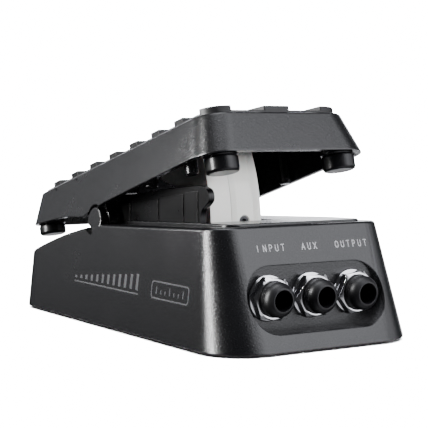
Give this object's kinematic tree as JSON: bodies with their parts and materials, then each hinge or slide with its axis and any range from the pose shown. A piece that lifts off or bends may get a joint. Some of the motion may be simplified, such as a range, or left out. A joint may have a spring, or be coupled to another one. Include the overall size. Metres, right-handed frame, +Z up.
{
  "type": "volume pedal",
  "caption": "Compact foot pedal whose rocking treadle turns a potentiometer through a band and sector, with a row of 6.35 mm jacks in its front face.",
  "frame": {"origin": "middle of the pedal's footprint at rest, on the surface that the feet stand on", "axes": "+X towards the toe end with the jacks, +Y to the side of the output jack, +Z up"},
  "size_m": [0.1534, 0.0776, 0.077],
  "materials": {
    "housing_powder_coat": "fine textured powder coat",
    "treadle_powder_coat": "fine textured powder coat",
    "plate_paint": "satin paint",
    "blackened_screw": "black oxide",
    "screw_steel": "zinc plated",
    "black_rubber": "matte",
    "tread_rubber": "matte",
    "pin_steel": "ground",
    "frame_black": "satin",
    "pot_case": "plated",
    "plated_steel": "plated",
    "ivory_nylon": "glossy",
    "band_film": "glossy",
    "wire_sleeve": "satin",
    "board_laminate": "solder mask",
    "jack_plastic": "satin",
    "contact_metal": "tinned",
    "chrome_plate": "polished",
    "trimmer_blue": "glossy",
    "white_plastic": "satin"
  },
  "bodies": {
    "base": {"base_housing": "housing_powder_coat", "bottom_plate": "plate_paint", "bottom_plate_screws": "blackened_screw", "rubber_feet": "black_rubber", "hinge_pin_left": "pin_steel", "hinge_pin_right": "pin_steel", "mechanism_frame": "frame_black", "frame_screws": "blackened_screw", "potentiometer": "pot_case", "pot_washer": "plated_steel", "pot_nut": "plated_steel", "shaft_bush": "ivory_nylon", "pot_wires": "wire_sleeve", "circuit_board": "board_laminate", "input_jack": "jack_plastic", "aux_jack": "jack_plastic", "output_jack": "jack_plastic", "input_jack_contacts": "contact_metal", "aux_jack_contacts": "contact_metal", "output_jack_contacts": "contact_metal", "input_jack_washer": "chrome_plate", "aux_jack_washer": "chrome_plate", "output_jack_washer": "chrome_plate", "input_jack_nut": "chrome_plate", "aux_jack_nut": "chrome_plate", "output_jack_nut": "chrome_plate", "mode_switch": "jack_plastic", "trim_pot": "trimmer_blue"},
    "treadle": {"treadle_shell": "treadle_powder_coat", "tread_pad": "tread_rubber", "toe_bumper_left": "black_rubber", "toe_bumper_right": "black_rubber", "heel_bumper_left": "black_rubber", "heel_bumper_right": "black_rubber", "pivot_bush_left": "ivory_nylon", "pivot_bush_right": "ivory_nylon", "band_sector": "ivory_nylon", "sector_screws": "screw_steel", "drive_band": "band_film", "band_screws": "blackened_screw"},
    "pot_rotor": {"pot_shaft": "pin_steel", "band_drum": "ivory_nylon", "drum_set_screw": "blackened_screw", "drum_band_wrap": "band_film"},
    "switch_slider": {"mode_switch_slider": "white_plastic"},
    "trim_rotor": {"trim_pot_rotor": "white_plastic"}
  },
  "joints": [
    {"name": "treadle_hinge", "type": "hinge", "parent": "base", "child": "treadle", "pos_m": [-0.01704, 0, 0.0364], "axis": [0, 1, 0], "range_deg": [-5.5, 12.7]},
    {"name": "pot_shaft_turn", "type": "hinge", "parent": "base", "child": "pot_rotor", "pos_m": [0.043, 0, 0.02309], "axis": [0, 1, 0], "range_deg": [-180, 76]},
    {"name": "mode_switch_slide", "type": "slide", "parent": "base", "child": "switch_slider", "axis": [0, 1, 0], "range_m": [0, 0.0016]},
    {"name": "trim_turn", "type": "hinge", "parent": "base", "child": "trim_rotor", "pos_m": [0.05566, -0.012, 0.007], "axis": [0, 0, 1], "range_deg": [-135, 135]}
  ],
  "couplings": [
    {"joint": "pot_shaft_turn", "follows": "treadle_hinge", "ratio": -13.2}
  ]
}
